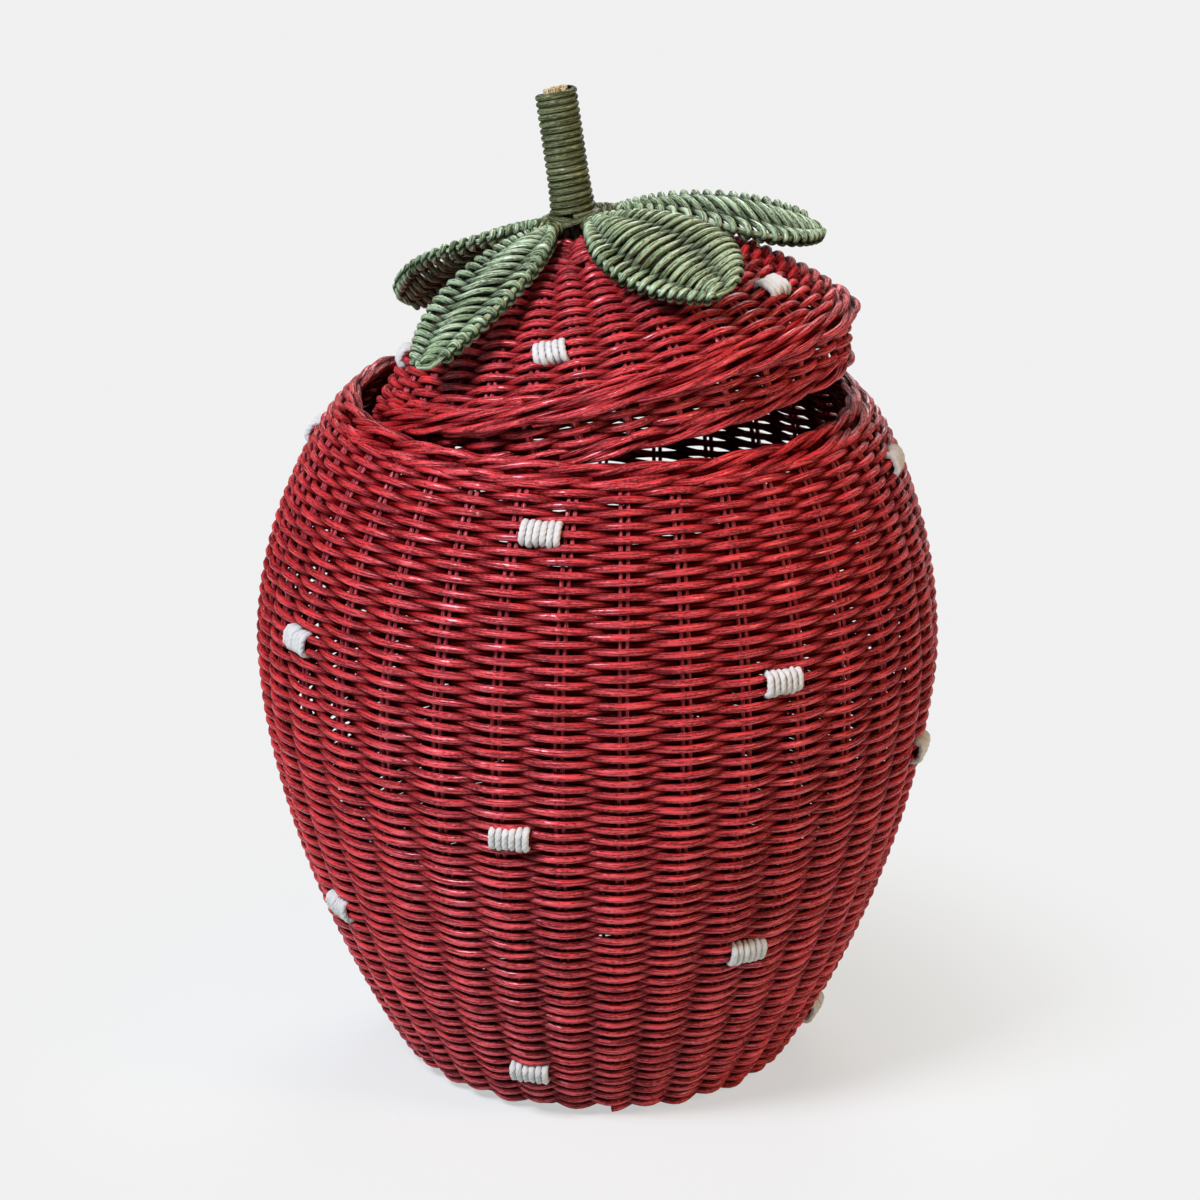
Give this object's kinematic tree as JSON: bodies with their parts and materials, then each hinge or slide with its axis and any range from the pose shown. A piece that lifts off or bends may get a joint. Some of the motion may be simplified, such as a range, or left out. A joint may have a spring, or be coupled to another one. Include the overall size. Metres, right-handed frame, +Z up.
{
  "type": "lidded strawberry-shaped basket",
  "caption": "Hand-woven cane basket in the shape of a strawberry, with a loose domed lid, green woven leaves, a wound stem and white cord seeds.",
  "frame": {"origin": "centre of the basket's round base, on the surface it stands on", "axes": "+Z up along the basket's axis; -Y is the front; +X is to the right seen from the front"},
  "size_m": [0.3376, 0.3376, 0.4903],
  "materials": {
    "crimson_cane": "round cane dyed crimson, satin, with dark gaps",
    "dark_crimson_cane": "round cane dyed a deeper crimson, satin",
    "green_cane": "round cane dyed sage green, satin",
    "pale_green_cane": "round cane dyed a paler sage green, satin",
    "white_cord": "off-white twisted cotton cord, matte"
  },
  "bodies": {
    "basket": {"base_weave": "crimson_cane", "body_stakes": "dark_crimson_cane", "body_weave": "crimson_cane", "body_border": "crimson_cane", "seed_row1_1": "white_cord", "seed_row1_2": "white_cord", "seed_row1_3": "white_cord", "seed_row1_4": "white_cord", "seed_row2_1": "white_cord", "seed_row2_2": "white_cord", "seed_row2_3": "white_cord", "seed_row2_4": "white_cord", "seed_row3_1": "white_cord", "seed_row3_2": "white_cord", "seed_row3_3": "white_cord", "seed_row3_4": "white_cord", "seed_row4_1": "white_cord", "seed_row4_2": "white_cord", "seed_row4_3": "white_cord", "seed_row4_4": "white_cord", "seed_row5_1": "white_cord", "seed_row5_2": "white_cord", "seed_row5_3": "white_cord", "seed_row5_4": "white_cord"},
    "lid": {"lid_sticks": "dark_crimson_cane", "lid_weave": "crimson_cane", "lid_border": "crimson_cane", "collar_weave": "crimson_cane", "collar_border": "crimson_cane", "lid_seed_1": "white_cord", "lid_seed_2": "white_cord", "lid_seed_3": "white_cord", "lid_seed_4": "white_cord", "lid_seed_5": "white_cord", "stem_core": "green_cane", "stem_wrap": "green_cane", "stem_lashing": "green_cane", "leaf_front_left_frame": "green_cane", "leaf_front_left_midrib": "green_cane", "leaf_front_left_weave": "pale_green_cane", "leaf_front_right_frame": "green_cane", "leaf_front_right_midrib": "green_cane", "leaf_front_right_weave": "pale_green_cane", "leaf_right_frame": "green_cane", "leaf_right_midrib": "green_cane", "leaf_right_weave": "pale_green_cane", "leaf_back_frame": "green_cane", "leaf_back_midrib": "green_cane", "leaf_back_weave": "pale_green_cane", "leaf_left_frame": "green_cane", "leaf_left_midrib": "green_cane", "leaf_left_weave": "pale_green_cane"}
  },
  "joints": [
    {"name": "lid_lift", "type": "slide", "parent": "basket", "child": "lid", "axis": [0, 0, 1], "range_m": [0, 0.15]}
  ]
}
